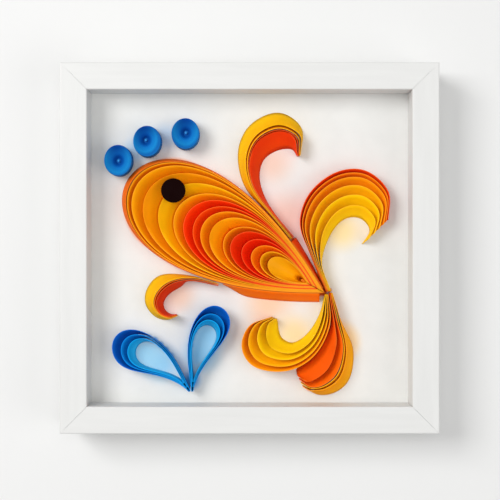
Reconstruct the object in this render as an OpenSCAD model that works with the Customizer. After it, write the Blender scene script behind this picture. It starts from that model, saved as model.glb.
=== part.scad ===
// Framed quilled paper picture: a goldfish with bubbles and two leaves, made of paper
// strips that stand on edge on a white card, at the back of a deep white box frame.
// The picture is drawn flat, with x to the right, y up and z towards the viewer, and
// is then stood upright on the frame's bottom rail, facing -Y.

/* [Frame] */
// Outer width of the frame
frame_w = 230; // [195:1:320]
// Outer height of the frame
frame_h = 225; // [190:1:320]
// Depth of the moulding from back to face
frame_depth = 35; // [30:1:60]
// Width of the moulding's face
rail_w = 16.5; // [15.5:0.5:19]
// Depth from the moulding's face to the card
recess = 20; // [15:1:25]
// Width of the rabbet behind the moulding's lip
rabbet_w = 6; // [4:0.5:7]
// Radius of the eased edges of the face
edge_r = 0.8; // [0.4:0.1:2]
// Gap at the mitres
mitre_gap = 0.1; // [0.05:0.05:0.4]

/* [Back] */
// Thickness of the picture's card
card_t = 1; // [0.5:0.1:2]
// Thickness of the back board
board_t = 3; // [2:0.5:5]
// Play of the card and the board in the rabbet
board_play = 0.5; // [0.2:0.1:1]
// Width of a retaining tab
tab_w = 8; // [5:0.5:12]
// Reach of a tab over the board
tab_reach = 7; // [4:0.5:12]
// Depth of a tab in the moulding
tab_bite = 4; // [2:0.5:6]
// Thickness of a tab
tab_t = 0.5; // [0.3:0.1:0.8]
// Distance between the two tabs on a rail
tab_pitch = 110; // [60:5:140]
// Length of a corner nail's arm
nail_arm = 6; // [4:0.5:7.5]
// Thickness of a corner nail
nail_t = 0.6; // [0.4:0.1:1]
// Depth of a corner nail in the moulding
nail_depth = 8; // [5:0.5:11]
// Clearance round tabs and nails in the wood
wood_fit = 0.05; // [0.02:0.01:0.1]

/* [Hanger] */
// Length of the sawtooth hanger
hanger_l = 45; // [35:1:60]
// Height of the hanger
hanger_h = 9; // [7:0.5:9.5]
// Thickness of the hanger's steel
hanger_t = 0.8; // [0.5:0.1:1.2]
// Height of the hanger's middle off the wood
hanger_rise = 1.2; // [0.8:0.1:2]
// Length of a flat end of the hanger
hanger_end = 8; // [6:0.5:10]
// Depth of the hanger's notches
notch_depth = 2; // [1:0.25:3]
// Number of notches
notch_count = 9; // [5:1:13]
// Diameter of a hanger pin's shank
pin_d = 1.5; // [1:0.1:2]
// Length of a hanger pin's shank
pin_l = 8; // [6:0.5:12]
// Diameter of a hanger pin's head
pin_head_d = 3.6; // [3:0.1:5]
// Thickness of a hanger pin's head
pin_head_t = 0.8; // [0.5:0.1:1.2]

/* [Paper] */
// Thickness of the paper strips
paper_t = 0.3; // [0.2:0.05:0.4]
// Gap between strips that lie together
paper_gap = 0.1; // [0.05:0.01:0.2]
// Width of the strips, which is their height off the card
strip_h = 10; // [6:0.5:12]

/* [Picture] */
// Clear card between the paper and the frame's lip
art_margin = 5.5; // [4:0.5:14]

/* [Fish] */
// Length of the body, as a share of the picture's field
body_share = 0.782; // [0.72:0.002:0.79]
// Width of the body, as a share of its length
body_width_share = 0.45; // [0.42:0.01:0.47]
// Tilt of the body, head up
fish_tilt = 29.6; // [27:0.2:31]
// Place of the body's middle right of the picture's centre, as a share of the field
fish_x_share = -0.0835; // [-0.1:0.0005:-0.06]
// Place of the body's middle above the picture's centre, as a share of the field
fish_y_share = 0.04; // [0.036:0.002:0.06]
// Diameter of the eye, as a share of the body's length
eye_share = 0.105; // [0.08:0.001:0.12]
// Thickness of the eye
eye_t = 3; // [2:0.5:4]
// Length of the dorsal fin, as a share of the body's length
dorsal_share = 0.558; // [0.5:0.002:0.58]
// Length of the tail's upper fin, as a share of the body's length
tail_share = 0.551; // [0.53:0.001:0.58]
// Length of the tail's curled scroll, as a share of the body's length
scroll_share = 0.445; // [0.42:0.005:0.455]
// Length of the tail's lower lobe, as a share of the body's length
lobe_share = 0.452; // [0.45:0.001:0.458]
// Length of the belly fin, as a share of the body's length
belly_share = 0.325; // [0.28:0.005:0.335]
// Gap between the body and the strips along it
edge_gap = 0.5; // [0.4:0.1:1]
// Spread at the card of the strip along the back, as a share of the body's length
back_flare_share = 0.025; // [0.01:0.001:0.028]
// Spread at the card of the strip along the belly, as a share of the body's length
belly_flare_share = 0.036; // [0.01:0.001:0.045]

/* [Bubbles and leaves] */
// Width of a bubble, as a share of the body's length
bubble_width_share = 0.127; // [0.1:0.001:0.13]
// Height of a bubble, as a share of the body's length
bubble_height_share = 0.15; // [0.12:0.001:0.153]
// Width of a bubble's strip
bubble_strip = 7; // [5:0.5:9]
// Depth of a bubble's cup
cup_depth = 5; // [2:0.5:6]
// Length of the left leaf, as a share of the picture's field
left_leaf_share = 0.315; // [0.25:0.005:0.325]
// Width of the left leaf, as a share of its length
left_leaf_width_share = 0.421; // [0.35:0.001:0.45]
// Length of the right leaf, as a share of the picture's field
right_leaf_share = 0.304; // [0.25:0.002:0.31]
// Width of the right leaf, as a share of its length
right_leaf_width_share = 0.38; // [0.35:0.01:0.45]
// Place of the leaves' foot left of the picture's centre, as a share of the field
leaf_x_share = 0.199; // [0.18:0.001:0.24]
// Place of the leaves' foot below the picture's centre, as a share of the field
leaf_y_share = 0.486; // [0.48:0.001:0.498]
// Distance between the two leaves at their foot
leaf_apart = 1.6; // [1.5:0.1:3]

/* [Hidden] */
// One overrun for all cuts
over = 1;
rabbet_depth = frame_depth - recess;
board_back = rabbet_depth - card_t - board_t;
inset_w = rail_w - rabbet_w;
hanger_depth = hanger_rise + hanger_t;
stand_y = (frame_depth - hanger_depth) / 2;
pin_pitch = hanger_l - hanger_end;
// The field is the largest square of card that is clear of the lip by the margin
field = min(frame_w, frame_h) - 2 * (rail_w + art_margin);
body_l = field * body_share;
body_w = body_l * body_width_share;
tip_x = field * fish_x_share + cos(fish_tilt) * body_l / 2;
tip_y = field * fish_y_share - sin(fish_tilt) * body_l / 2;
eye_d = body_l * eye_share;
dorsal_l = body_l * dorsal_share;
tail_l = body_l * tail_share;
scroll_l = body_l * scroll_share;
lobe_l = body_l * lobe_share;
belly_l = body_l * belly_share;
back_flare = body_l * back_flare_share;
belly_flare = body_l * belly_flare_share;
bubble_w = body_l * bubble_width_share;
bubble_h = body_l * bubble_height_share;
left_leaf_l = field * left_leaf_share;
left_leaf_w = left_leaf_l * left_leaf_width_share;
right_leaf_l = field * right_leaf_share;
right_leaf_w = right_leaf_l * right_leaf_width_share;
leaf_x = field * leaf_x_share;
leaf_y = field * leaf_y_share;
// Half the width of a strip's pinched fold
fold = paper_t + paper_gap / 2;
// Distance from strip to strip where a fin's strips lie together
bundle_pitch = paper_t + 2 * paper_gap;

// A drop's neck: 1 for a plain taper, more for a thin neck
body_neck = 1;
leaf_neck = 2;
// The first turn past the pinched tip of a drop, which leaves its fold open
first_turn = 25;
// Places of the stations along a strip
body_stations = 32;
leaf_stations = 30;
fan_stations = 24;
edge_stations = 14;

// Far ends of the body's strips, as shares of its length, and the length left open by the last foot
body_head_shares = [
    0.974, 0.967, 0.945, 0.89, 0.816, 0.741, 0.693, 0.647,
    0.61, 0.566, 0.5, 0.465, 0.41, 0.364, 0.32, 0.283
];
body_last_share = 0.03;
// How far a strip's foot lies towards the next strip's front edge
body_foot_share = 1.04;
// Step from one pinched tip to the next along the body
body_tip_angle = atan(body_w / (drop_peak(body_neck) * body_l));
body_tip_step = (paper_t + paper_gap) / sin(body_tip_angle);
eye_place_shares = [-0.792, 0.137];

// Turns round the body's edge, from the tail over the back to the tail again
back_turns = [58.6, 14];
belly_turns = [280.5, 345];
dorsal_turns = [60, 76];
belly_fin_turns = [278, 265];
bubble_turns = [172, 152, 132];
bubble_gap_shares = [0.08, 0.13, 0.31];

// Ribs of the fins, from the outermost line to the innermost, as shares of a fin's length.
// The two fins on the body start with ribs that stand on the body's own edge.
dorsal_root_share = 0.036;
dorsal_rib_shares = [
    [[-0.5, 0.175], [-0.375, 0.225]],
    [[-0.69, 0.39], [-0.46, 0.33]],
    [[-0.715, 0.63], [-0.485, 0.45]],
    [[-0.565, 0.83], [-0.43, 0.56]],
    [[-0.335, 0.81], [-0.345, 0.62]],
    [[-0.247, 0.611], [-0.268, 0.595]]
];
dorsal_front_shares = [0.36, 0.45, 0.495, 0.54];
dorsal_foot_shares = [0, 0.3, 0.5, 1];
belly_root_shares = [0.04, 0.085];
belly_rib_shares = [
    [[-0.71, -0.28], [-0.4, -0.29]],
    [[-0.79, -0.53], [-0.49, -0.45]],
    [[-0.71, -0.735], [-0.505, -0.59]],
    [[-0.51, -0.825], [-0.44, -0.675]],
    [[-0.33, -0.78], [-0.35, -0.69]],
    [[-0.238, -0.656], [-0.27, -0.652]]
];
belly_front_shares = [0.5, 0.56, 0.66];
belly_foot_shares = [0, 0.64, 1];
// The three fins at the tail start with a bundle: place of its outermost strip, and the way across it
tail_root_shares = [0.002, 0.013];
tail_root_way = 40;
tail_rib_shares = [
    [[-0.24, 0.195], [-0.125, 0.18]],
    [[-0.445, 0.37], [-0.185, 0.38]],
    [[-0.5, 0.62], [-0.175, 0.54]],
    [[-0.4, 0.87], [-0.115, 0.63]],
    [[-0.2, 1], [-0.02, 0.66]],
    [[0.04, 0.945], [0.075, 0.61]],
    [[0.146, 0.748], [0.073, 0.484]]
];
tail_front_shares = [0, 0.08, 0.17, 0.34, 0.54, 0.76];
tail_foot_shares = [0.1, 0.2, 0.38, 0.58, 0.8, 1];
scroll_root_shares = [0.036, 0.006];
scroll_root_way = 208;
scroll_rib_shares = [
    [[0.2, -0.235], [0.06, -0.22]],
    [[0.215, -0.57], [0.06, -0.43]],
    [[0.06, -0.84], [-0.02, -0.585]],
    [[-0.24, -0.97], [-0.14, -0.6]],
    [[-0.45, -0.865], [-0.21, -0.545]],
    [[-0.49, -0.64], [-0.255, -0.485]],
    [[-0.345, -0.462], [-0.285, -0.455]]
];
scroll_front_shares = [0, 0.18, 0.42, 0.66];
scroll_foot_shares = [0.21, 0.46, 0.7, 1];
lobe_root_shares = [0.064, 0.038];
lobe_root_way = 216;
lobe_rib_shares = [
    [[0.3, -0.165], [0.205, -0.242]],
    [[0.52, -0.34], [0.225, -0.453]],
    [[0.63, -0.6], [0.205, -0.617]],
    [[0.575, -0.79], [0.15, -0.742]],
    [[0.43, -0.9], [0.135, -0.785]],
    [[0.275, -0.9], [0.15, -0.815]]
];
lobe_front_shares = [0.25, 0.32, 0.36, 0.58];
lobe_foot_shares = [0, 0.2, 0.56, 1];
// The share of a fin's length over which its strips part, and over which they close again
root_share = 0.3;
end_share = 0.2;

// Leaves: heading of the axis at the foot, its bend, and the far ends of the nested strips
left_leaf_heading = 125;
left_leaf_bend = 48;
right_leaf_heading = 88;
right_leaf_bend = -38;
leaf_head_shares = [1, 0.9, 0.825];
leaf_foot_shares = [0.88, 0.81, 0.75];
leaf_tip_share = 0.055;

// A bubble's coil
bubble_turn_count = 5;
bubble_turn_stations = 14;
bubble_pitch = bubble_h / 2 / (bubble_turn_count + 1);
eye_turn_count = 8;
eye_groove_share = 0.08;
// Width of a hanger's notch as a share of the notches' pitch
notch_share = 0.84;

// Papers, as red, green and blue
deep_red = [0.67, 0.06, 0];
red = [0.88, 0.09, 0.01];
orange_red = [0.97, 0.27, 0.03];
dark_orange = [0.91, 0.36, 0.03];
orange = [1, 0.5, 0];
light_orange = [1, 0.61, 0.03];
amber = [1, 0.67, 0.02];
yellow = [1, 0.76, 0.05];
dark_blue = [0.02, 0.16, 0.5];
mid_blue = [0.04, 0.36, 0.7];
light_blue = [0.1, 0.58, 0.82];
black = [0.08, 0.02, 0.02];
white = [0.95, 0.95, 0.94];
body_papers = [
    dark_orange, orange, orange, light_orange, yellow, dark_orange, red, red,
    orange, light_orange, orange_red, deep_red, red, orange_red, orange, amber
];
dorsal_papers = [yellow, orange, deep_red, red];
tail_papers = [deep_red, orange_red, dark_orange, orange, amber, yellow];
scroll_papers = [orange, light_orange, amber, yellow];
lobe_papers = [yellow, amber, red, orange_red];
belly_papers = [yellow, orange_red, deep_red];
leaf_papers = [dark_blue, mid_blue, light_blue];

// Numbered names of a row of like pieces
function numbered(name, count) = [for (k = [1:count]) str(name, "_", k)];

// Plain helpers
function mix(a, b, share) = a + (b - a) * share;
function held(x, low, high) = max(low, min(high, x));
function ease(x) = let (c = held(x, 0, 1)) c * c * (3 - 2 * c);
function unit(v) = v / norm(v);
function left_of(v) = [-v[1], v[0]];
function flat(p) = [p[0], p[1]];
function lifted(line, z) = [for (p = line) [p[0], p[1], z]];

// A smooth curve through a list of points; place runs from 0 to the last point's number
function past_end(p, k) =
    k < 0 ? 2 * p[0] - p[1] :
    k < len(p) ? p[k] :
    2 * p[len(p) - 1] - p[len(p) - 2];
function curve(p, place) =
    let (
        k = min(floor(place), len(p) - 2),
        t = place - k,
        a = past_end(p, k - 1),
        b = p[k],
        c = p[k + 1],
        d = past_end(p, k + 2)
    )
    b + ((c - a) * t + (2 * a - 5 * b + 4 * c - d) * t * t + (3 * b - a - 3 * c + d) * t * t * t) / 2;

// Greatest value of a drop's width formula, for a given neck
function drop_peak(neck) = 2 * pow((neck + 1) / (neck + 2), (neck + 1) / 2) / sqrt(neck + 2);

// A drop with its pinched tip at zero: distance along its axis and distance to the left of it
function drop(turn, length, width, neck) = [
    length * (1 - cos(turn)) / 2,
    width * sin(turn) * pow(sin(turn / 2), neck) / (2 * drop_peak(neck)) + fold * cos(turn / 2)
];
// Turns at which a drop has its stations: both sides of the fold, and evenly between
function drop_turns(count) = concat(
    [0],
    [for (k = [0:count - 3]) mix(first_turn, 360 - first_turn, k / (count - 3))],
    [360]
);

// The body's drops lie along -x, with their tips moved in by tip
function body_point(turn, far, tip) =
    let (
        length = far - tip,
        p = drop(turn, length, body_w * length / body_l, body_neck)
    )
    [-tip - p[0], p[1]];
function body_line(far, tip) = [for (turn = drop_turns(body_stations)) body_point(turn, far, tip)];
// A point beside one of the body's drops
function beside_drop(turn, far, tip, off) =
    let (along = unit(body_point(turn + 1, far, tip) - body_point(turn - 1, far, tip)))
    body_point(turn, far, tip) - left_of(along) * off;
function body_tip(k) = body_tip_step * (k + 1);
function body_far(k) =
    k < len(body_head_shares) ? body_l * body_head_shares[k] : body_tip(k) + body_l * body_last_share;
// A point beside the body's edge: at the card, and at the front edge of its outermost strip
function beside_body(turn, off) = beside_drop(turn, body_l, 0, off);
function beside_front(turn, off) = beside_drop(turn, body_far(0), body_tip(0), off);

// A leaf's axis is an arc; a drop is laid along it
function bent(p, length, heading, bend) =
    let (
        radius = length * 180 / (PI * bend),
        way = heading + bend * p[0] / length
    )
    radius * [sin(way) - sin(heading), cos(heading) - cos(way)] + p[1] * [-sin(way), cos(way)];
function leaf_line(far, tip, length, width, heading, bend) = [
    for (turn = drop_turns(leaf_stations))
        let (p = drop(turn, far - tip, width * (far - tip) / length, leaf_neck))
        bent([p[0] + tip, p[1]], length, heading, bend)
];

// Lines of a fan: strips lie evenly at the root, part to their own shares, and may close again
function fan_share(u, even, share, closes) =
    mix(even, share, ease(u / root_share) * (closes ? ease((1 - u) / end_share) : 1));
function fan_line(ribs, even, share, closes) =
    let (
        outer = [for (rib = ribs) rib[0]],
        inner = [for (rib = ribs) rib[1]],
        spans = len(ribs) - 1
    )
    [
        for (k = [0:fan_stations - 1])
            let (u = k / (fan_stations - 1))
            mix(curve(outer, u * spans), curve(inner, u * spans), fan_share(u, even, share, closes))
    ];
function sized_ribs(shares, size, base) = [for (rib = shares) [base + size * rib[0], base + size * rib[1]]];
function foot_rib(turn, width) = [beside_body(turn, edge_gap), beside_body(turn, edge_gap + width)];
function front_rib(turn, width) = [beside_front(turn, edge_gap), beside_front(turn, edge_gap + width)];
function bundle_rib(outer, way, count) = [outer, outer + count * bundle_pitch * [cos(way), sin(way)]];
function tail_fan(root_shares, way, shares, size, count) =
    concat([bundle_rib(size * root_shares, way, count)], sized_ribs(shares, size, [0, 0]));

dorsal_fan = sized_ribs(dorsal_rib_shares, dorsal_l, beside_body(dorsal_turns[0], 0));
dorsal_root = dorsal_l * dorsal_root_share;
dorsal_fronts = concat([for (turn = dorsal_turns) front_rib(turn, dorsal_root)], dorsal_fan);
dorsal_feet = concat([for (turn = dorsal_turns) foot_rib(turn, dorsal_root)], dorsal_fan);
belly_fan = sized_ribs(belly_rib_shares, belly_l, beside_body(belly_fin_turns[0], 0));
belly_roots = belly_l * belly_root_shares;
belly_fronts = concat([for (k = [0:1]) front_rib(belly_fin_turns[k], belly_roots[k])], belly_fan);
belly_feet = concat([for (k = [0:1]) foot_rib(belly_fin_turns[k], belly_roots[k])], belly_fan);
tail_ribs = tail_fan(tail_root_shares, tail_root_way, tail_rib_shares, tail_l, len(tail_papers));
scroll_ribs = tail_fan(scroll_root_shares, scroll_root_way, scroll_rib_shares, scroll_l, len(scroll_papers));
lobe_ribs = tail_fan(lobe_root_shares, lobe_root_way, lobe_rib_shares, lobe_l, len(lobe_papers));

// A neighbour along a line that is closed or has two ends
function beside(line, k, closed) =
    let (n = len(line))
    flat(line[closed ? (k + n) % n : held(k, 0, n - 1)]);
// The step across the paper at station k, square to the line and longer at a fold
function across(line, k, closed, thick) =
    let (
        before = beside(line, k - 1, closed),
        here = flat(line[k]),
        after = beside(line, k + 1, closed),
        along = unit(after - before),
        ahead = after == here ? along : unit(after - here),
        behind = before == here ? along : unit(here - before)
    )
    left_of(along) * thick / max(along * ahead, along * behind);

// A strip of paper on edge between its front edge and its foot. Its inside lies on the
// left of its line where side is 1, and on the right where side is -1.
module strip(front, foot, side, closed, thick) {
    last = len(front) - 1;
    points = [
        for (k = [0:last])
            let (
                top = across(front, k, closed, thick),
                low = across(foot, k, closed, thick),
                in_top = front[k] + [top[0], top[1], 0] * side,
                in_low = foot[k] + [low[0], low[1], 0] * side,
                ring = side > 0 ? [front[k], in_top, in_low, foot[k]] : [in_top, front[k], foot[k], in_low]
            )
            each ring
    ];
    walls = [
        for (j = [0:closed ? last : last - 1])
            let (a = 4 * j, b = 4 * ((j + 1) % (last + 1)))
            for (c = [0:3])
                let (d = (c + 1) % 4)
                each c == 3
                    ? [[a + c, a + d, b + c], [a + d, b + d, b + c]]
                    : [[a + c, a + d, b + d], [a + c, b + d, b + c]]
    ];
    end = 4 * last;
    caps = closed ? [] : [[3, 2, 1], [3, 1, 0], [end, end + 1, end + 2], [end, end + 2, end + 3]];
    polyhedron(points, concat(walls, caps));
}

// Stands a flat drawing upright, with its back behind the frame's middle
module upright() translate([0, stand_y, frame_h / 2]) rotate([90, 0, 0]) children();
// Puts a drawing on the front of the card
module on_card() upright() translate([0, 0, rabbet_depth]) children();
// Puts a drawing in the fish's own frame: tip of the body at zero, head towards -x
module on_fish() on_card() translate([tip_x, tip_y, 0]) rotate(-fish_tilt) children();

// Section of the moulding: outside edge at zero, lip at the full width, back at zero
module rail_section() {
    face = [
        for (a = [0:30:90]) [edge_r - edge_r * cos(a), frame_depth - edge_r + edge_r * sin(a)],
        for (a = [90:-30:0]) [rail_w - edge_r + edge_r * cos(a), frame_depth - edge_r + edge_r * sin(a)]
    ];
    polygon(concat([[0, 0]], face, [[rail_w, rabbet_depth], [inset_w, rabbet_depth], [inset_w, 0]]));
}

// A corner nail: two arms that run from the mitre along the two rails
module corner_nail(grow) {
    start = (inset_w - nail_arm) / 2;
    translate([start - grow, start - grow, 0])
        linear_extrude(nail_depth + grow)
            difference() {
                square(nail_arm + 2 * grow);
                translate([nail_t + 2 * grow, nail_t + 2 * grow]) square(nail_arm + over);
            }
}

// The places of the frame's corners, each with the turn that brings the first one there
module at_corners(width, height) {
    for (k = [0:3]) {
        x = (k == 0 || k == 3 ? -1 : 1) * width / 2;
        y = (k < 2 ? -1 : 1) * height / 2;
        translate([x, y, 0]) rotate(90 * k) children();
    }
}

// A retaining tab: a flat spring-steel point, driven into the rabbet and lying on the board
module tab(grow) {
    straight = tab_bite + tab_reach - tab_w / 2;
    translate([0, inset_w - tab_bite - grow, board_back - tab_t - grow])
        linear_extrude(tab_t + 2 * grow)
            union() {
                translate([-tab_w / 2 - grow, 0]) square([tab_w + 2 * grow, straight + grow]);
                translate([0, straight + grow]) circle(d = tab_w + 2 * grow, $fn = 48);
            }
}
module tab_pair(grow) for (s = [-1, 1]) translate([s * tab_pitch / 2, 0, 0]) tab(grow);

// One rail of the frame along x: outside edge at y zero, lip towards +y, ends mitred
module rail(length) {
    end = length / 2 - mitre_gap / sqrt(2);
    color(white) difference() {
        intersection() {
            rotate([90, 0, 90]) linear_extrude(length, center = true) rail_section();
            translate([0, 0, -over]) linear_extrude(frame_depth + 2 * over)
                polygon([
                    [-end - over, -over], [end + over, -over],
                    [end - rail_w - over, rail_w + over], [-end + rail_w + over, rail_w + over]
                ]);
        }
        translate([-length / 2, 0, 0]) corner_nail(wood_fit);
        translate([length / 2, 0, 0]) mirror([1, 0, 0]) corner_nail(wood_fit);
        tab_pair(wood_fit);
    }
}

// Bottom rail of the frame, on which it stands
module bottom_rail() upright() translate([0, -frame_h / 2, 0]) rail(frame_w);

// Top rail, with two pilot holes for the hanger's pins
module top_rail() {
    color(white) upright() translate([0, frame_h / 2, 0]) rotate(180) difference() {
        rail(frame_w);
        for (s = [-1, 1])
            translate([s * pin_pitch / 2, inset_w / 2, 0])
                cylinder(h = 2 * (pin_l + wood_fit), d = pin_d + 2 * wood_fit, center = true, $fn = 32);
    }
}

// Side rails of the frame
module left_rail() upright() translate([-frame_w / 2, 0, 0]) rotate(-90) rail(frame_h);
module right_rail() upright() translate([frame_w / 2, 0, 0]) rotate(90) rail(frame_h);

// Four steel nails across the back of the mitres, a little below the surface
module corner_nails() {
    color("silver") upright() at_corners(frame_w, frame_h) translate([0, 0, nail_t]) sunk_nail();
}
// A corner nail as driven, clear of the slot's end
module sunk_nail() {
    intersection() {
        corner_nail(0);
        linear_extrude(nail_depth - nail_t) square(inset_w);
    }
}

// A sheet that lies in the rabbet
module rabbet_sheet(back, thick) {
    translate([0, 0, back]) linear_extrude(thick)
        square([frame_w - 2 * (inset_w + board_play), frame_h - 2 * (inset_w + board_play)], center = true);
}
// White card that carries the quilling, against the back of the lip
module picture_card() color("white") upright() rabbet_sheet(board_back + board_t, card_t);
// Brown board behind the card
module back_board() color("peru") upright() rabbet_sheet(board_back, board_t);

// Eight steel tabs that hold the board
module board_tabs() {
    color("silver") upright() {
        translate([0, -frame_h / 2, 0]) tab_pair(0);
        translate([0, frame_h / 2, 0]) rotate(180) tab_pair(0);
        translate([-frame_w / 2, 0, 0]) rotate(-90) tab_pair(0);
        translate([frame_w / 2, 0, 0]) rotate(90) tab_pair(0);
    }
}

// Puts a drawing on the back of the top rail, with z away from the wood
module on_top_back() upright() translate([0, frame_h / 2 - inset_w / 2, 0]) mirror([0, 0, 1]) children();

// Sawtooth hanger: a steel strip with a raised middle and notches along its lower edge
module sawtooth_hanger() {
    flat_x = hanger_l / 2 - hanger_end;
    raised_x = flat_x - 2 * hanger_rise;
    side = [[hanger_l / 2, 0], [flat_x, 0], [raised_x, hanger_rise]];
    under = concat(side, [for (k = [2:-1:0]) [-side[k][0], side[k][1]]]);
    upper = [for (k = [5:-1:0]) under[k] + [0, hanger_t]];
    notch_pitch = 2 * raised_x / notch_count;
    notch_w = notch_pitch * notch_share;
    color("goldenrod") on_top_back() difference() {
        rotate([90, 0, 0]) linear_extrude(hanger_h, center = true) polygon(concat(under, upper));
        for (k = [0:notch_count - 1])
            translate([(k + 0.5) * notch_pitch - raised_x, -hanger_h / 2, hanger_rise - over])
                linear_extrude(hanger_t + 2 * over)
                    polygon([[-notch_w / 2, 0], [0, notch_depth], [notch_w / 2, 0], [0, -over]]);
        for (s = [-1, 1])
            translate([s * pin_pitch / 2, 0, hanger_t / 2])
                cylinder(h = hanger_t + 2 * over, d = pin_d + 2 * wood_fit, center = true, $fn = 32);
    }
}

// Two pins that fix the hanger
module hanger_pins() {
    color("goldenrod") on_top_back() for (s = [-1, 1])
        translate([s * pin_pitch / 2, 0, 0])
            rotate_extrude($fn = 48)
                polygon([
                    [0, -pin_l], [pin_d / 2, -pin_l + pin_d], [pin_d / 2, hanger_t],
                    [pin_head_d / 2, hanger_t], [pin_head_d / 2, hanger_t + pin_head_t / 2],
                    [pin_head_d / 4, hanger_t + pin_head_t], [0, hanger_t + pin_head_t]
                ]);
}

// One of the body's nested drops. The outermost spreads at the card, the rest lean inwards.
module body_strip(k) {
    foot_far = k == 0 ? body_l : mix(body_far(k), body_far(k + 1), body_foot_share);
    foot_tip = k == 0 ? 0 : mix(body_tip(k), body_tip(k + 1), body_foot_share);
    color(body_papers[k]) on_fish()
        strip(lifted(body_line(body_far(k), body_tip(k)), strip_h),
              lifted(body_line(foot_far, foot_tip), 0), 1, true, paper_t);
}

// A strip beside the body's edge, from a free end to the tail, spread at the card
module edge_strip(turns, flare, root, side) {
    places = [for (k = [0:edge_stations - 1]) k / (edge_stations - 1)];
    front = [for (u = places) beside_front(mix(turns[0], turns[1], u), edge_gap)];
    foot = [
        for (u = places)
            let (spread = root ? ease(u / end_share) : 1 - u)
            beside_body(mix(turns[0], turns[1], u), edge_gap + flare * spread)
    ];
    on_fish() strip(lifted(front, strip_h), lifted(foot, 0), side, false, paper_t);
}
module back_edge_strip() color(deep_red) edge_strip(back_turns, back_flare, false, -1);
module belly_edge_strip() color(dark_orange) edge_strip(belly_turns, belly_flare, true, 1);

// Black coil glued on the front edges of the body's strips
module eye_coil() {
    pitch = eye_d / 2 / eye_turn_count;
    groove = eye_t * eye_groove_share;
    turns = [
        for (k = [0:eye_turn_count - 1])
            each [[(k + 0.5) * pitch, eye_t], [(k + 1) * pitch, eye_t - groove]]
    ];
    color(black) on_fish()
        translate([eye_place_shares[0] * body_l, eye_place_shares[1] * body_w, strip_h])
            rotate_extrude($fn = 64)
                polygon(concat([[0, 0], [0, eye_t - groove]], turns, [[eye_d / 2, 0]]));
}

// One strip of a fan-shaped fin, of which there are count
module fan_strip(front_ribs, front_share, foot_ribs, foot_share, k, count, side, closes) {
    even = (k + 0.5) / count;
    on_fish()
        strip(lifted(fan_line(front_ribs, even, front_share, closes), strip_h),
              lifted(fan_line(foot_ribs, even, foot_share, closes), 0), side, false, paper_t);
}
module dorsal_fin_strip(k)
    color(dorsal_papers[k])
        fan_strip(dorsal_fronts, dorsal_front_shares[k], dorsal_feet, dorsal_foot_shares[k],
                  k, len(dorsal_papers), -1, true);
module tail_fin_strip(k)
    color(tail_papers[k])
        fan_strip(tail_ribs, tail_front_shares[k], tail_ribs, tail_foot_shares[k],
                  k, len(tail_papers), -1, false);
module tail_scroll_strip(k)
    color(scroll_papers[k])
        fan_strip(scroll_ribs, scroll_front_shares[k], scroll_ribs, scroll_foot_shares[k],
                  k, len(scroll_papers), -1, false);
module tail_lobe_strip(k)
    color(lobe_papers[k])
        fan_strip(lobe_ribs, lobe_front_shares[k], lobe_ribs, lobe_foot_shares[k],
                  k, len(lobe_papers), -1, true);
module belly_fin_strip(k)
    color(belly_papers[k])
        fan_strip(belly_fronts, belly_front_shares[k], belly_feet, belly_foot_shares[k],
                  k, len(belly_papers), 1, true);

// One of a leaf's nested drops, whose pinched tips lie behind each other in the neck
module leaf_strip(k, length, width, heading, bend) {
    tip = length * leaf_tip_share * k;
    next_tip = length * leaf_tip_share * (k + 0.5);
    strip(lifted(leaf_line(length * leaf_head_shares[k], tip, length, width, heading, bend), strip_h),
          lifted(leaf_line(length * leaf_foot_shares[k], next_tip, length, width, heading, bend), 0),
          1, true, paper_t);
}
module left_leaf_strip(k)
    color(leaf_papers[k]) on_card() translate([-leaf_x - leaf_apart / 2, -leaf_y, 0])
        leaf_strip(k, left_leaf_l, left_leaf_w, left_leaf_heading, left_leaf_bend);
module right_leaf_strip(k)
    color(leaf_papers[k]) on_card() translate([-leaf_x + leaf_apart / 2, -leaf_y, 0])
        leaf_strip(k, right_leaf_l, right_leaf_w, right_leaf_heading, right_leaf_bend);

// A bubble: a tight oval coil with its middle pushed back to the card, so it makes a cup
module bubble_coil(k) {
    steps = bubble_turn_count * bubble_turn_stations;
    oval = bubble_w / bubble_h;
    coil = [
        for (j = [0:steps])
            let (
                turn = j / bubble_turn_stations,
                r = bubble_pitch * (1 + turn),
                rise = cup_depth * pow(turn / bubble_turn_count, 2)
            )
            [r * oval * cos(360 * turn), r * sin(360 * turn), rise]
    ];
    off = bubble_w / 2 + bubble_h * bubble_gap_shares[k];
    place = beside_body(bubble_turns[k], off);
    color(mid_blue) on_fish() translate([place[0], place[1], 0]) rotate(fish_tilt)
        strip([for (p = coil) p + [0, 0, bubble_strip]], coil, 1, false, (bubble_pitch - paper_gap) * oval);
}

top_rail();
bottom_rail();
left_rail();
right_rail();
corner_nails();
picture_card();
back_board();
board_tabs();
sawtooth_hanger();
hanger_pins();
back_edge_strip();
belly_edge_strip();
eye_coil();
for (k = [0:len(body_papers) - 1])
    body_strip(k);
for (k = [0:len(dorsal_papers) - 1])
    dorsal_fin_strip(k);
for (k = [0:len(tail_papers) - 1])
    tail_fin_strip(k);
for (k = [0:len(scroll_papers) - 1])
    tail_scroll_strip(k);
for (k = [0:len(lobe_papers) - 1])
    tail_lobe_strip(k);
for (k = [0:len(belly_papers) - 1])
    belly_fin_strip(k);
for (k = [0:len(leaf_papers) - 1])
    left_leaf_strip(k);
for (k = [0:len(leaf_papers) - 1])
    right_leaf_strip(k);
for (k = [0:len(bubble_turns) - 1])
    bubble_coil(k);
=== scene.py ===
import math

import bmesh
import bpy
from mathutils import Matrix, Vector


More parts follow.
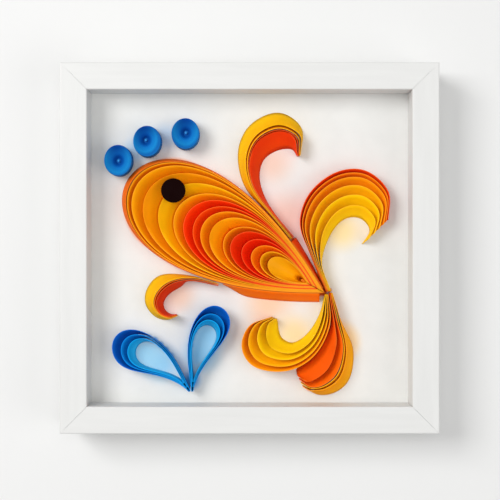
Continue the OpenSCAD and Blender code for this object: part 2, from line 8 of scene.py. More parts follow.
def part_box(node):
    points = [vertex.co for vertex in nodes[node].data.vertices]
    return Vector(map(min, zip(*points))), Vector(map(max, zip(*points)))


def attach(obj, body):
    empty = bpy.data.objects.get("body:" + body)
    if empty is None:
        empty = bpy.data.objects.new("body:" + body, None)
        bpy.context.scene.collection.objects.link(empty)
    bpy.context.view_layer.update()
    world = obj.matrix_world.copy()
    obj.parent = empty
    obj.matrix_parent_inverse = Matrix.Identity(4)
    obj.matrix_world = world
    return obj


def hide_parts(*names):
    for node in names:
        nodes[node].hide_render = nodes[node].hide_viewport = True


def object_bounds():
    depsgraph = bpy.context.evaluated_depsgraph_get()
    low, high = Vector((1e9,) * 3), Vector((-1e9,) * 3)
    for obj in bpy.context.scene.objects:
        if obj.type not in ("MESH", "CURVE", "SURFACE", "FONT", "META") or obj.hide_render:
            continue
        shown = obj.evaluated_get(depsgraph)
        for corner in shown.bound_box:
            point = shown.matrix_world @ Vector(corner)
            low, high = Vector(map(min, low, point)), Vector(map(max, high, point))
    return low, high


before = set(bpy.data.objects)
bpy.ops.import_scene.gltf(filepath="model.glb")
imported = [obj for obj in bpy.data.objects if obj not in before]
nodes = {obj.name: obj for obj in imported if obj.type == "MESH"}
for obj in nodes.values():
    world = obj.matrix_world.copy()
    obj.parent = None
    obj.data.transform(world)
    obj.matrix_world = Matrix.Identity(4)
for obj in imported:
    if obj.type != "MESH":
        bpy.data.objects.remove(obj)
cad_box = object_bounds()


# Frame rails
# Four lengths of pine moulding, mitred and glued, then sprayed with white satin lacquer.
# A trace of the long grain and the spray's fine ripple show in the lacquer.
def screen(red, green, blue):
    """A colour as a screen shows it, from 0 to 255, as the shader's linear values."""
    shares = [c / 255 for c in (red, green, blue)]
    return tuple(c / 12.92 if c <= 0.04045 else ((c + 0.055) / 1.055) ** 2.4 for c in shares) + (1.0,)


def add_node(tree, kind, inputs=None, **settings):
    """One shader node with its settings and unlinked inputs."""
    node = tree.nodes.new(kind)
    for key, value in settings.items():
        setattr(node, key, value)
    for key, value in (inputs or {}).items():
        node.inputs[key].default_value = value
    return node


def new_group(name, inputs, outputs):
    """A node group with its sockets, and its nodes for what goes in and comes out."""
    group = bpy.data.node_groups.new(name, "ShaderNodeTree")
    for way, sockets in (("INPUT", inputs), ("OUTPUT", outputs)):
        for socket, kind in sockets.items():
            group.interface.new_socket(socket, in_out=way, socket_type="NodeSocket" + kind)
    return group, group.nodes.new("NodeGroupInput"), group.nodes.new("NodeGroupOutput")


def new_finish(name, roughness, specular):
    """An empty material with its Principled shader."""
    finish = bpy.data.materials.new(name)
    finish.use_nodes = True
    shader = finish.node_tree.nodes["Principled BSDF"]
    shader.inputs["Roughness"].default_value = roughness
    shader.inputs["Specular IOR Level"].default_value = specular
    return finish, finish.node_tree, shader


def speckle_group():
    """Two tones and a height from noise that can be drawn out along one axis."""
    group, given, result = new_group(
        "tone_and_tooth",
        {"Light": "Color", "Dark": "Color", "Stretch": "Vector",
         "Tone Scale": "Float", "Tooth Scale": "Float"},
        {"Colour": "Color", "Tooth": "Float"})
    place = add_node(group, "ShaderNodeTexCoord")
    drawn = add_node(group, "ShaderNodeVectorMath", operation="MULTIPLY")
    tone = add_node(group, "ShaderNodeTexNoise", {"Detail": 3.0, "Roughness": 0.55})
    tooth = add_node(group, "ShaderNodeTexNoise", {"Detail": 4.0, "Roughness": 0.6})
    spread = add_node(group, "ShaderNodeMapRange", {"From Min": 0.3, "From Max": 0.7})
    colour = add_node(group, "ShaderNodeMix", data_type="RGBA")
    link = group.links.new
    link(place.outputs["Object"], drawn.inputs[0])
    link(given.outputs["Stretch"], drawn.inputs[1])
    link(drawn.outputs[0], tone.inputs["Vector"])
    link(drawn.outputs[0], tooth.inputs["Vector"])
    link(given.outputs["Tone Scale"], tone.inputs["Scale"])
    link(given.outputs["Tooth Scale"], tooth.inputs["Scale"])
    link(tone.outputs["Fac"], spread.inputs["Value"])
    link(spread.outputs["Result"], colour.inputs["Factor"])
    link(given.outputs["Dark"], colour.inputs["A"])
    link(given.outputs["Light"], colour.inputs["B"])
    link(colour.outputs["Result"], result.inputs["Colour"])
    link(tooth.outputs["Fac"], result.inputs["Tooth"])
    return group


tone_and_tooth = speckle_group()


def toned_finish(name, light, dark, stretch, scales, roughness, specular, bump):
    """A finish with two tones, a rougher and a smoother share, and a fine tooth."""
    finish, tree, shader = new_finish(name, roughness[0], specular)
    speckle = add_node(tree, "ShaderNodeGroup",
                       {"Light": light, "Dark": dark, "Stretch": stretch,
                        "Tone Scale": scales[0], "Tooth Scale": scales[1]},
                       node_tree=tone_and_tooth)
    rough = add_node(tree, "ShaderNodeMapRange", {"To Min": roughness[0], "To Max": roughness[1]})
    height = add_node(tree, "ShaderNodeBump", {"Strength": bump[0], "Distance": bump[1]})
    link = tree.links.new
    link(speckle.outputs["Colour"], shader.inputs["Base Color"])
    link(speckle.outputs["Tooth"], rough.inputs["Value"])
    link(rough.outputs["Result"], shader.inputs["Roughness"])
    link(speckle.outputs["Tooth"], height.inputs["Height"])
    link(height.outputs["Normal"], shader.inputs["Normal"])
    return finish


def dress(names, finish):
    """The finish of CAD nodes that keep their own shape."""
    for name in names:
        nodes[name].data.materials.clear()
        nodes[name].data.materials.append(finish)


lacquer = {
    "light": screen(217, 217, 215),
    "dark": screen(213, 213, 211),
    "scales": (260.0, 900.0),
    "roughness": (0.34, 0.46),
    "specular": 0.4,
    "bump": (0.25, 0.00006),
}
long_grain = 0.08
lacquer_along = toned_finish("white_lacquer_along", stretch=(long_grain, 1.0, 1.0), **lacquer)
lacquer_upright = toned_finish("white_lacquer_upright", stretch=(1.0, 1.0, long_grain), **lacquer)
dress(("top_rail", "bottom_rail"), lacquer_along)
dress(("left_rail", "right_rail"), lacquer_upright)


# Picture card and back board
# A sheet of smooth white watercolour card carries the paper work. Soft spots of painted coloured light tint
# it under the body, in the leaves, beside the fins and in narrow shaded gaps, for the light that the paper
# strips throw and let through. A brown hardboard sheet lies behind it.
def grade_group():
    """A colour that runs from near to far with the distance from a place."""
    group, given, result = new_group(
        "graded_dye_and_light",
        {"Near": "Color", "Far": "Color", "Start": "Vector", "From": "Float", "To": "Float"},
        {"Colour": "Color"})
    place = add_node(group, "ShaderNodeTexCoord")
    away = add_node(group, "ShaderNodeVectorMath", operation="DISTANCE")
    share = add_node(group, "ShaderNodeMapRange", interpolation_type="SMOOTHSTEP")
    colour = add_node(group, "ShaderNodeMix", data_type="RGBA")
    link = group.links.new
    link(place.outputs["Object"], away.inputs[0])
    link(given.outputs["Start"], away.inputs[1])
    link(away.outputs["Value"], share.inputs["Value"])
    link(given.outputs["From"], share.inputs["From Min"])
    link(given.outputs["To"], share.inputs["From Max"])
    link(share.outputs["Result"], colour.inputs["Factor"])
    link(given.outputs["Near"], colour.inputs["A"])
    link(given.outputs["Far"], colour.inputs["B"])
    link(colour.outputs["Result"], result.inputs["Colour"])
    return group


graded_dye_and_light = grade_group()


def graded(tree, near, start, reach):
    """A colour that is full at a place and gives way to another one over its reach: dye on the leaves,
    painted light and shade elsewhere.
    """
    return add_node(tree, "ShaderNodeGroup",
                    {"Near": near, "Start": start, "From": reach[0], "To": reach[1]},
                    node_tree=graded_dye_and_light)


def painted_light_spot(finish, tint, place, reach):
    """A soft spot of painted coloured light on a surface, over what colours it already."""
    tree = finish.node_tree
    base = tree.nodes["Principled BSDF"].inputs["Base Color"]
    under = base.links[0].from_socket
    spot = graded(tree, screen(*tint), place, reach)
    tree.links.new(under, spot.inputs["Far"])
    tree.links.new(spot.outputs["Colour"], base)


white_card = toned_finish("white_card", light=screen(225, 225, 222), dark=screen(221, 221, 218),
                          stretch=(1.0, 1.0, 1.0), scales=(70.0, 1400.0), roughness=(0.78, 0.92),
                          specular=0.25, bump=(0.35, 0.00012))
card_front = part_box("picture_card")[0][1]
body_tilt = 29.6
joint_gap = 0.002
tail_tip = Vector((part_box("belly_edge_strip")[1][0] + joint_gap, card_front,
                   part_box("back_edge_strip")[0][2] - joint_gap))
head_way = Matrix.Rotation(math.radians(body_tilt), 3, "Y") @ Vector((-1.0, 0.0, 0.0))
leaf_foot = Vector((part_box("left_leaf_strip_1")[1][0], card_front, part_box("right_leaf_strip_1")[0][2]))

# Faint spots of painted coloured light beside the fins and bubbles, for light through the paper: where each
# lies, its tint, and where its fade starts and ends
for across, up, tint, reach in (
    (0.057, 0.123, (234, 214, 164), (0.002, 0.017)),
    (0.014, 0.165, (228, 202, 186), (0.001, 0.019)),
    (0.022, 0.133, (228, 200, 188), (0.001, 0.023)),
    (0.055, 0.054, (234, 206, 158), (0.008, 0.017)),
    (0.012, 0.079, (230, 202, 174), (0.002, 0.022)),
    (0.027, 0.060, (234, 212, 170), (0.002, 0.016)),
    (-0.044, 0.083, (226, 200, 182), (0.002, 0.015)),
    (-0.071, 0.172, (176, 204, 222), (0.002, 0.012)),
    (-0.0525, 0.182, (190, 208, 224), (0.001, 0.012)),
):
    painted_light_spot(white_card, tint, (across, card_front, up), reach)

# Painted orange light on the card under the body, seen in the shaded gaps between its strips: how far each
# lies from the tail's tip, its half width, and the shares of that width where its fade starts and ends
body_light_tint = (240, 140, 30)
fade_from, fade_to = 0.94, 1.06
for away, half_width in (
    (0.108, 0.0295),
    (0.09, 0.0312),
    (0.07, 0.0282),
    (0.05, 0.0235),
    (0.034, 0.0182),
    (0.02, 0.013),
    (0.008, 0.0085),
):
    painted_light_spot(white_card, body_light_tint, tail_tip + away * head_way, (fade_from * half_width, fade_to * half_width))

# Painted orange light on the shaded card at the tail's joint, and along the gap between the dorsal fin's
# root and the back
gap_light_tint = (214, 96, 24)
gap_reach = (0.0008, 0.002)
joint_reach = (0.0018, 0.0036)
joint_side = Vector((0.0042, 0.0, 0.001))
gap_start = Vector((0.0075, card_front, 0.1374))
gap_end = Vector((0.0272, card_front, 0.1176))
gap_steps = 10
painted_light_spot(white_card, gap_light_tint, tail_tip, joint_reach)
painted_light_spot(white_card, gap_light_tint, tail_tip + joint_side, gap_reach)
for step in range(gap_steps + 1):
    painted_light_spot(white_card, gap_light_tint, gap_start.lerp(gap_end, step / gap_steps), gap_reach)

# Painted coloured light on the shaded card along the feet of strips that stand close to each other: the
# strip, its root and its free end, the share that stays bare at the root, how many spots, their tint, and
# where their fade starts and ends
fin_light_tint = (222, 110, 34)
leaf_light_tint = (70, 150, 214)
foot_height = 0.0002
end_bare = 0.007
dorsal_end = Vector((0.0301, card_front, 0.1695))
lobe_end = Vector((0.0307, card_front, 0.0292))
for strip, root, free_end, bare, count, tint, reach in (
    ("dorsal_fin_strip_3", tail_tip, dorsal_end, 0.4, 18, fin_light_tint, (0.0008, 0.0022)),
    ("tail_lobe_strip_2", tail_tip, lobe_end, 0.2, 20, fin_light_tint, (0.0008, 0.0026)),
    ("left_leaf_strip_2", leaf_foot, leaf_foot, 0.4, 16, leaf_light_tint, (0.001, 0.003)),
    ("right_leaf_strip_2", leaf_foot, leaf_foot, 0.4, 16, leaf_light_tint, (0.001, 0.003)),
):
    foot = [v.co for v in nodes[strip].data.vertices
            if v.co.y > card_front - foot_height and (v.co - free_end).length > end_bare]
    foot.sort(key=lambda place: (place - root).length)
    foot = foot[int(bare * len(foot)):]
    for step in range(count):
        painted_light_spot(white_card, tint, foot[step * len(foot) // count], reach)

# Painted blue light on the card inside the leaves, for light through their paper, as shares of the innermost
# strip's box, and one where the leaves' necks meet
hollow_light_tint = (160, 204, 222)
hollow_reach = (0.002, 0.016)
neck_light_tint = (60, 160, 214)
neck_reach = (0.001, 0.008)
neck_height = 0.006
for leaf, spots in (
    ("left_leaf_strip_3", ((0.3, 0.62), (0.55, 0.42))),
    ("right_leaf_strip_3", ((0.55, 0.72), (0.35, 0.42))),
):
    near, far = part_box(leaf)
    for across, up in spots:
        place = (near[0] + across * (far[0] - near[0]), card_front, near[2] + up * (far[2] - near[2]))
        painted_light_spot(white_card, hollow_light_tint, place, hollow_reach)
painted_light_spot(white_card, neck_light_tint, leaf_foot + Vector((0.0, 0.0, neck_height)), neck_reach)

hardboard = toned_finish("brown_hardboard", light=screen(144, 106, 70), dark=screen(118, 84, 53),
                         stretch=(1.0, 1.0, 0.75), scales=(760.0, 1800.0), roughness=(0.6, 0.82),
                         specular=0.3, bump=(0.6, 0.0002))
dress(("picture_card",), white_card)
dress(("back_board",), hardboard)


# Tabs and corner nails
# Flat spring-steel tabs hold the board, and bent steel nails close the mitres.
# They are punched from cold-rolled strip and left bare.
def metal_finish(name, light, dark, stretch, roughness):
    """Bare or plated sheet metal with rolling lines."""
    finish = toned_finish(name, light, dark, stretch, scales=(300.0, 2600.0), roughness=roughness,
                          specular=0.5, bump=(0.2, 0.00004))
    finish.node_tree.nodes["Principled BSDF"].inputs["Metallic"].default_value = 1.0
    return finish


rolling_lines = 0.05
bare_steel = metal_finish("bare_steel", light=screen(188, 190, 192), dark=screen(150, 152, 155),
                          stretch=(1.0, 1.0, rolling_lines), roughness=(0.28, 0.45))
dress(("board_tabs", "corner_nails"), bare_steel)


# Sawtooth hanger
# A stamped strip of sheet metal with a raised, notched middle, brass plated.
# Two pins fix it to the back of the top rail.
brass_plate = metal_finish("brass_plate", light=screen(214, 176, 96), dark=screen(176, 136, 64),
                           stretch=(rolling_lines, 1.0, 1.0), roughness=(0.24, 0.42))
dress(("sawtooth_hanger", "hanger_pins"), brass_plate)


# Body of the fish
# Sixteen nested drops of dyed paper on edge, each glued shut at the tail. The outermost
# spreads at the card, and the rest lean in like bowls, so that their insides show.
paper_front, paper_back = (corner[1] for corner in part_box("body_strip_1"))


def paper_group():
    """Dyed paper: cloudy dye, a paler colour towards the card that is painted light thrown up from the white
    card, fine fibres, and a paler core on the cut edges.
    """
    group, given, result = new_group(
        "dyed_paper_and_foot_light",
        {"Dye": "Color", "Foot": "Color", "Core": "Color"},
        {"Colour": "Color", "Fibres": "Float"})
    place = add_node(group, "ShaderNodeTexCoord")
    depth = add_node(group, "ShaderNodeSeparateXYZ")
    # Towards the card the colour pales: painted light thrown up from the white card
    low_share = add_node(group, "ShaderNodeMapRange", {"From Min": paper_front, "From Max": paper_back},
                         interpolation_type="SMOOTHSTEP")
    sloped = add_node(group, "ShaderNodeMix", data_type="RGBA")
    cloud = add_node(group, "ShaderNodeTexNoise", {"Scale": 90.0, "Detail": 3.0})
    tone = add_node(group, "ShaderNodeMapRange",
                    {"From Min": 0.3, "From Max": 0.7, "To Min": 0.93, "To Max": 1.03})
    dyed = add_node(group, "ShaderNodeVectorMath", operation="SCALE")
    fibres = add_node(group, "ShaderNodeTexNoise", {"Scale": 1800.0, "Detail": 4.0, "Roughness": 0.65})
    facing = add_node(group, "ShaderNodeNewGeometry")
    parts = add_node(group, "ShaderNodeSeparateXYZ")
    cut = add_node(group, "ShaderNodeMapRange", {"From Min": -0.9, "From Max": -0.99})
    edge = add_node(group, "ShaderNodeMix", data_type="RGBA")
    link = group.links.new
    link(place.outputs["Object"], depth.inputs[0])
    link(depth.outputs["Y"], low_share.inputs["Value"])
    link(low_share.outputs["Result"], sloped.inputs["Factor"])
    link(given.outputs["Dye"], sloped.inputs["A"])
    link(given.outputs["Foot"], sloped.inputs["B"])
    link(place.outputs["Object"], cloud.inputs["Vector"])
    link(place.outputs["Object"], fibres.inputs["Vector"])
    link(cloud.outputs["Fac"], tone.inputs["Value"])
    link(sloped.outputs["Result"], dyed.inputs[0])
    link(tone.outputs["Result"], dyed.inputs["Scale"])
    link(facing.outputs["Normal"], parts.inputs[0])
    link(parts.outputs["Y"], cut.inputs["Value"])
    link(cut.outputs["Result"], edge.inputs["Factor"])
    link(dyed.outputs[0], edge.inputs["A"])
    link(given.outputs["Core"], edge.inputs["B"])
    link(edge.outputs["Result"], result.inputs["Colour"])
    link(fibres.outputs["Fac"], result.inputs["Fibres"])
    return group


dyed_paper_and_foot_light = paper_group()


def paper(name, dye, foot):
    """A sheet of dyed paper, with a cut edge that is paler than its face."""
    finish, tree, shader = new_finish(name + "_paper", roughness=0.7, specular=0.08)
    core = (dye[0], 0.6 * dye[1] + 68, dye[2] + 36)
    sheet = add_node(tree, "ShaderNodeGroup",
                     {"Dye": screen(*dye), "Foot": screen(*foot), "Core": screen(*core)},
                     node_tree=dyed_paper_and_foot_light)
    height = add_node(tree, "ShaderNodeBump", {"Strength": 0.25, "Distance": 0.00006})
    tree.links.new(sheet.outputs["Colour"], shader.inputs["Base Color"])
    tree.links.new(sheet.outputs["Fibres"], height.inputs["Height"])
    tree.links.new(height.outputs["Normal"], shader.inputs["Normal"])
    return finish, tree, sheet


rounding_levels = 2


def paper_piece(bm, name, node, finish, corner, sharpness):
    """A piece in place of a CAD node, rounded but for edges that turn more than a corner's angle."""
    crease = bm.edges.layers.float.new("crease_edge")
    for edge in bm.edges:
        if edge.calc_face_angle(math.pi) > math.radians(corner):
            edge[crease] = sharpness
    for face in bm.faces:
        face.smooth = True
    mesh = bpy.data.meshes.new(name)
    bm.to_mesh(mesh)
    bm.free()
    mesh.materials.append(finish)
    piece = bpy.data.objects.new(name, mesh)
    bpy.context.scene.collection.objects.link(piece)
    rounding = piece.modifiers.new("rounding", "SUBSURF")
    rounding.levels = rounding.render_levels = rounding_levels
    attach(piece, "root")
    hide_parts(node)


def paper_strip(name, dye, foot):
    """A strip with the node's own lines, rounded along its length and sharp at its edges."""
    bm = bmesh.new()
    bm.from_mesh(nodes[name].data)
    bmesh.ops.remove_doubles(bm, verts=bm.verts, dist=1e-6)
    bmesh.ops.join_triangles(bm, faces=bm.faces, angle_face_threshold=math.pi, angle_shape_threshold=math.pi)
    finish, tree, sheet = paper(name, dye, foot)
    paper_piece(bm, name + "_paper", name, finish, corner=50, sharpness=1.0)
    return tree, sheet


# The material slot, the dye at the front edge and the paler colour at the foot, which is painted light
# thrown up from the white card, from the outermost strip inwards
body_dyes_and_foot_light = (
    ("dark_orange", (241, 103, 4), (246, 112, 4)),
    ("orange", (255, 165, 4), (255, 176, 4)),
    ("orange", (255, 166, 4), (255, 188, 4)),
    ("light_orange", (255, 155, 4), (255, 184, 4)),
    ("yellow", (255, 184, 4), (255, 205, 4)),
    ("dark_orange", (255, 162, 4), (255, 170, 4)),
    ("red", (255, 58, 2), (255, 70, 2)),
    ("red", (255, 73, 3), (255, 86, 4)),
    ("orange", (255, 147, 4), (255, 165, 4)),
    ("light_orange", (255, 161, 4), (255, 179, 4)),
    ("orange_red", (255, 148, 4), (255, 157, 4)),
    ("deep_red", (244, 50, 2), (248, 58, 2)),
    ("red", (250, 41, 2), (250, 50, 3)),
    ("orange_red", (255, 126, 4), (255, 137, 4)),
    ("orange", (255, 167, 4), (255, 180, 4)),
    ("amber", (241, 159, 4), (241, 177, 4)),
)
for number, (slot, dye, foot) in enumerate(body_dyes_and_foot_light, 1):
    paper_strip(f"body_strip_{number}", dye, foot)


# Strips along the body
# A dark red strip follows the back and an orange one the belly, from a free end to the tail.
# Both are dyed paper like the body's, on edge, with their feet glued to the card.
paper_strip("back_edge_strip", (230, 76, 4), (235, 92, 4))
paper_strip("belly_edge_strip", (255, 113, 4), (255, 124, 4))


# Fins and tail
# Fans of strips that leave their root glued together and part as they curl. Their free
# ends are cut square.
# Each strip's dye and its paler foot colour, which is painted light thrown up from the white card
fin_dyes_and_foot_light = {
    "dorsal_fin_strip": (
        ("yellow", (245, 176, 4), (245, 188, 4)),
        ("orange", (255, 173, 4), (255, 185, 4)),
        ("deep_red", (240, 54, 4), (246, 62, 4)),
        ("red", (236, 57, 4), (236, 68, 4)),
    ),
    "tail_fin_strip": (
        ("deep_red", (238, 69, 4), (240, 80, 4)),
        ("orange_red", (255, 130, 4), (255, 142, 4)),
        ("dark_orange", (255, 151, 4), (255, 166, 4)),
        ("orange", (255, 179, 4), (255, 194, 4)),
        ("amber", (255, 200, 4), (255, 214, 4)),
        ("yellow", (255, 194, 4), (255, 206, 4)),
    ),
    "tail_scroll_strip": (
        ("orange", (255, 154, 4), (255, 169, 4)),
        ("light_orange", (255, 177, 4), (255, 194, 4)),
        ("amber", (255, 200, 4), (255, 215, 4)),
        ("yellow", (246, 193, 4), (246, 209, 4)),
    ),
    "tail_lobe_strip": (
        ("yellow", (255, 159, 4), (255, 172, 4)),
        ("amber", (255, 196, 4), (255, 207, 4)),
        ("red", (255, 105, 4), (255, 121, 4)),
        ("orange_red", (236, 88, 4), (236, 97, 4)),
    ),
    "belly_fin_strip": (
        ("yellow", (242, 172, 4), (242, 187, 4)),
        ("orange_red", (255, 109, 4), (255, 118, 4)),
        ("deep_red", (221, 51, 4), (225, 59, 4)),
    ),
}
for fin, dyes in fin_dyes_and_foot_light.items():
    for number, (slot, dye, foot) in enumerate(dyes, 1):
        paper_strip(f"{fin}_{number}", dye, foot)


# Eye
# A tight coil of black paper glued on the front edges of the body's strips. Its dye is
# the same all through, so its cut edges stay dark.
eye_dye = (18, 3, 3)
black_paper, _, black_sheet = paper("black", eye_dye, eye_dye)
black_sheet.inputs["Core"].default_value = screen(18, 17, 23)
black_paper.node_tree.nodes["Principled BSDF"].inputs["Specular IOR Level"].default_value = 0.03
dress(("eye_coil",), black_paper)


# Leaves
# Two leaves at the foot of the picture, each three nested drops of blue paper with a long
# pinched neck. The paper is graded along its length, from dark at the head to pale at the foot.
pale_sea = screen(34, 186, 236)
neck_fade = (0.012, 0.04)
# The dye at each strip's front edge and its paler foot colour, which is painted light thrown up from the
# white card
leaf_dyes_and_foot_light = (
    ("dark_blue", (4, 88, 184), (8, 112, 204)),
    ("mid_blue", (5, 126, 206), (14, 152, 222)),
    ("light_blue", (10, 158, 218), (50, 190, 234)),
)
for leaf in ("left_leaf_strip", "right_leaf_strip"):
    for number, (slot, dye, foot) in enumerate(leaf_dyes_and_foot_light, 1):
        tree, sheet = paper_strip(f"{leaf}_{number}", dye, foot)
        neck = graded(tree, pale_sea, leaf_foot, neck_fade)
        neck.inputs["Far"].default_value = screen(*dye)
        tree.links.new(neck.outputs["Colour"], sheet.inputs["Dye"])


# Bubbles
# Tight oval coils of narrow blue paper, each pushed into a cup with the thumb. The coil's turns
# show as fine lines round a small open core. Painted shade darkens the top of each cup, and the colours from
# core to rim are partly graded dye and partly painted shade.
def coil_group():
    """Fine lines of a flat oval coil, on what faces forward: dark where two turns meet."""
    group, given, result = new_group(
        "coil_lines",
        {"Middle": "Vector", "Scale": "Vector", "Turns": "Float"},
        {"Groove": "Float", "Reach": "Float"})
    place = add_node(group, "ShaderNodeTexCoord")
    centred = add_node(group, "ShaderNodeVectorMath", operation="SUBTRACT")
    scaled = add_node(group, "ShaderNodeVectorMath", operation="MULTIPLY")
    reach = add_node(group, "ShaderNodeVectorMath", operation="LENGTH")
    parts = add_node(group, "ShaderNodeSeparateXYZ")
    angle = add_node(group, "ShaderNodeMath", operation="ARCTAN2")
    share = add_node(group, "ShaderNodeMath", {1: 1 / (2 * math.pi)}, operation="MULTIPLY")
    turn = add_node(group, "ShaderNodeMath", operation="MULTIPLY_ADD")
    within = add_node(group, "ShaderNodeMath", operation="FRACT")
    off = add_node(group, "ShaderNodeMath", {1: 0.5}, operation="SUBTRACT")
    line = add_node(group, "ShaderNodeMath", operation="ABSOLUTE")
    groove = add_node(group, "ShaderNodeMapRange", {"From Min": 0.28, "From Max": 0.5},
                      interpolation_type="SMOOTHSTEP")
    facing = add_node(group, "ShaderNodeNewGeometry")
    way = add_node(group, "ShaderNodeSeparateXYZ")
    forward = add_node(group, "ShaderNodeMapRange", {"From Min": -0.1, "From Max": -0.35})
    shown = add_node(group, "ShaderNodeMath", operation="MULTIPLY")
    link = group.links.new
    link(place.outputs["Object"], centred.inputs[0])
    link(given.outputs["Middle"], centred.inputs[1])
    link(centred.outputs[0], scaled.inputs[0])
    link(given.outputs["Scale"], scaled.inputs[1])
    link(scaled.outputs[0], reach.inputs[0])
    link(scaled.outputs[0], parts.inputs[0])
    link(parts.outputs["Z"], angle.inputs[0])
    link(parts.outputs["X"], angle.inputs[1])
    link(angle.outputs[0], share.inputs[0])
    link(reach.outputs["Value"], turn.inputs[0])
    link(given.outputs["Turns"], turn.inputs[1])
    link(share.outputs[0], turn.inputs[2])
    link(turn.outputs[0], within.inputs[0])
    link(within.outputs[0], off.inputs[0])
    link(off.outputs[0], line.inputs[0])
    link(line.outputs[0], groove.inputs["Value"])
    link(facing.outputs["Normal"], way.inputs[0])
    link(way.outputs["Y"], forward.inputs["Value"])
    link(groove.outputs["Result"], shown.inputs[0])
    link(forward.outputs["Result"], shown.inputs[1])
    link(shown.outputs[0], result.inputs["Groove"])
    link(reach.outputs["Value"], result.inputs["Reach"])
    return group


coil_lines = coil_group()
cup_turns = 22.0
cup_steps = 48
cup_dye = (16, 122, 196)
line_dye = screen(4, 70, 150)
line_strength = 0.45
painted_top_shade = screen(4, 70, 156)
# Where the painted shade at the top starts and ends to fade, in half heights of the coil
top_from, top_to = 0.1, 1.25
# Colours from the core to the rim, with their shares of the radius: partly graded dye and partly painted
# shade, darker in the hollow round the core and at the rim
cup_dyes_and_shade = (
    (0.0, (70, 160, 214)),
    (0.09, (40, 130, 200)),
    (0.15, (4, 76, 156)),
    (0.34, (4, 86, 166)),
    (0.52, (16, 122, 196)),
    (0.8, (26, 140, 206)),
    (0.93, (20, 118, 188)),
    (1.0, (16, 102, 174)),
)
# The turns lean with the core in front of this share of the depth
cup_back = 0.9
# The cup's profile from the core out and round the rim to the back: share of the radius, and share of
# the way from the rim back to the card
cup_profile = (
    (0.0, 0.52), (0.075, 0.52), (0.1, 0.66), (0.2, 0.66), (0.3, 0.47), (0.48, 0.36), (0.66, 0.22),
    (0.82, 0.09), (0.92, 0.015), (0.97, 0.0), (1.0, 0.03), (1.0, 0.5), (1.0, 1.0), (0.0, 1.0),
)


def cup_coil(name, core, top):
    """A coil that is pushed into a cup, in the box of its node."""
    near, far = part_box(name)
    middle = [(a + b) / 2 for a, b in zip(near, far)]
    half = [(b - a) / 2 for a, b in zip(near, far)]
    bm = bmesh.new()
    line = [bm.verts.new((share, back, 0.0)) for share, back in cup_profile]
    edges = [bm.edges.new(pair) for pair in zip(line, line[1:])]
    bmesh.ops.spin(bm, geom=line + edges, cent=(0, 0, 0), axis=(0, 1, 0), dvec=(0, 0, 0),
                   angle=2 * math.pi, steps=cup_steps, use_merge=True, use_duplicate=False)
    bmesh.ops.remove_doubles(bm, verts=bm.verts, dist=1e-5)
    for vert in bm.verts:
        lean = max(0.0, 1 - Vector((vert.co.x, vert.co.z)).length) if vert.co.y < cup_back else 0.0
        vert.co += Vector((core[0], 0.0, core[1])) * lean
    bmesh.ops.scale(bm, verts=bm.verts, vec=(half[0], far[1] - near[1], half[2]))
    bmesh.ops.translate(bm, verts=bm.verts, vec=(middle[0], near[1], middle[2]))
    bmesh.ops.recalc_face_normals(bm, faces=bm.faces)
    finish, tree, sheet = paper(name, cup_dye, cup_dye)
    core_place = (middle[0] + core[0] * half[0], middle[1], middle[2] + core[1] * half[2])
    coil = add_node(tree, "ShaderNodeGroup",
                    {"Middle": core_place, "Scale": (1 / half[0], 0.0, 1 / half[2]), "Turns": cup_turns},
                    node_tree=coil_lines)
    ramp = add_node(tree, "ShaderNodeValToRGB")
    stops = ramp.color_ramp.elements
    while len(stops) < len(cup_dyes_and_shade):
        stops.new(0.5)
    for stop, (share, _) in zip(stops, cup_dyes_and_shade):
        stop.position = share
    for stop, (_, dye) in zip(stops, cup_dyes_and_shade):
        stop.color = screen(*dye)
    faint = add_node(tree, "ShaderNodeMath", {1: line_strength}, operation="MULTIPLY")
    lined = add_node(tree, "ShaderNodeMix", {"B": line_dye}, data_type="RGBA")
    # Painted shade at the top of the cup, where the rim keeps the light off
    shaded = graded(tree, painted_top_shade, (middle[0] + top * half[0], near[1], far[2]),
                    (top_from * half[2], top_to * half[2]))
    link = tree.links.new
    link(coil.outputs["Reach"], ramp.inputs["Fac"])
    link(coil.outputs["Groove"], faint.inputs[0])
    link(faint.outputs[0], lined.inputs["Factor"])
    link(ramp.outputs["Color"], lined.inputs["A"])
    link(lined.outputs["Result"], shaded.inputs["Far"])
    for socket in ("Dye", "Foot", "Core"):
        link(shaded.outputs["Colour"], sheet.inputs[socket])
    paper_piece(bm, name + "_cup", name, finish, corner=70, sharpness=0.8)


# How far each core and the darkest place of the painted shade at the top lie off the middle, in half widths
# and half heights
cup_coil("bubble_coil_1", core=(-0.04, 0.02), top=-0.1)
cup_coil("bubble_coil_2", core=(-0.16, 0.14), top=-0.25)
cup_coil("bubble_coil_3", core=(0.0, 0.12), top=0.05)


# Wall, light and camera
# The picture hangs on a plain pale wall, lit softly from the upper left. The wall is clear
# from behind and casts no shadow, so that the back of the frame can be seen.
low, high = cad_box
middle = (0.0, 0.0, (low[2] + high[2]) / 2)
wall_reach = 3.0
wall_gap = 0.0005
bm = bmesh.new()
bmesh.ops.create_grid(bm, x_segments=1, y_segments=1, size=wall_reach)
bmesh.ops.rotate(bm, verts=bm.verts, cent=(0, 0, 0), matrix=Matrix.Rotation(math.radians(90), 3, "X"))
bmesh.ops.translate(bm, verts=bm.verts, vec=(0, high[1] + wall_gap, middle[2]))
wall_mesh = bpy.data.meshes.new("wall")
bm.to_mesh(wall_mesh)
bm.free()
wall = bpy.data.objects.new("wall", wall_mesh)
bpy.context.scene.collection.objects.link(wall)
wall_paint, tree, shader = new_finish("wall_paint", roughness=0.9, specular=0.1)
shader.inputs["Base Color"].default_value = screen(226, 226, 225)
behind = add_node(tree, "ShaderNodeNewGeometry")
rays = add_node(tree, "ShaderNodeLightPath")
either = add_node(tree, "ShaderNodeMath", operation="MAXIMUM")
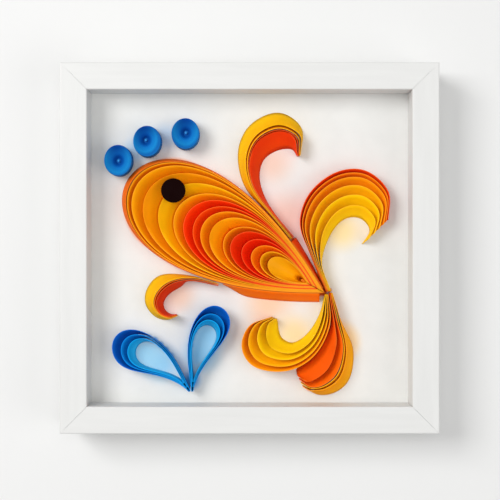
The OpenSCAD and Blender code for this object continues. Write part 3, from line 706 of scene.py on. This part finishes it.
clear = add_node(tree, "ShaderNodeBsdfTransparent")
mixed = add_node(tree, "ShaderNodeMixShader")
link = tree.links.new
link(behind.outputs["Backfacing"], either.inputs[0])
link(rays.outputs["Is Shadow Ray"], either.inputs[1])
link(either.outputs[0], mixed.inputs["Fac"])
link(shader.outputs[0], mixed.inputs[1])
link(clear.outputs[0], mixed.inputs[2])
link(mixed.outputs[0], tree.nodes["Material Output"].inputs["Surface"])
wall_mesh.materials.append(wall_paint)


def soft_lamp(name, offset, size, power):
    """A square soft light at an offset from the picture's middle, which it points at."""
    lamp = bpy.data.lights.new(name, "AREA")
    lamp.size = size
    lamp.energy = power
    holder = bpy.data.objects.new(name, lamp)
    holder.location = [m + o for m, o in zip(middle, offset)]
    holder.rotation_euler = Vector([-o for o in offset]).to_track_quat("-Z", "Y").to_euler()
    bpy.context.scene.collection.objects.link(holder)


soft_lamp("window", (-0.95, -1.35, 0.5), size=0.8, power=18.5)
soft_lamp("side_fill", (1.15, -1.1, -0.35), size=1.0, power=5.5)
soft_lamp("room_fill", (0.05, -1.9, 0.05), size=1.0, power=6.8)
soft_lamp("back_fill", (0.3, 1.4, 0.5), size=1.0, power=14.0)

# The room's light on the picture, and the paler room that the camera and shiny or clear surfaces show
room_light = 0.43
room_seen = 0.97
world = bpy.data.worlds.new("room")
bpy.context.scene.world = world
world.use_nodes = True
tree = world.node_tree
sky = tree.nodes["Background"]
sky.inputs["Color"].default_value = (1.0, 1.0, 1.0, 1.0)
rays = add_node(tree, "ShaderNodeLightPath")
mirrored = add_node(tree, "ShaderNodeMath", operation="MAXIMUM")
seen = add_node(tree, "ShaderNodeMath", operation="MAXIMUM")
level = add_node(tree, "ShaderNodeMapRange", {"To Min": room_light, "To Max": room_seen})
link = tree.links.new
link(rays.outputs["Is Glossy Ray"], mirrored.inputs[0])
link(rays.outputs["Is Transmission Ray"], mirrored.inputs[1])
link(rays.outputs["Is Camera Ray"], seen.inputs[0])
link(mirrored.outputs[0], seen.inputs[1])
link(seen.outputs[0], level.inputs["Value"])
link(level.outputs["Result"], sky.inputs["Strength"])

camera_away = 0.70
camera_right = 0.00024
camera_down = 0.0012
lens = bpy.data.cameras.new("photo")
lens.sensor_width = 36.0
lens.lens = 83.3
lens.clip_start = 0.01
camera = bpy.data.objects.new("photo", lens)
camera.location = (camera_right, low[1] - camera_away, middle[2] - camera_down)
camera.rotation_euler = (math.radians(90), 0, 0)
bpy.context.scene.collection.objects.link(camera)
bpy.context.scene.camera = camera
bpy.context.scene.view_settings.view_transform = "Standard"
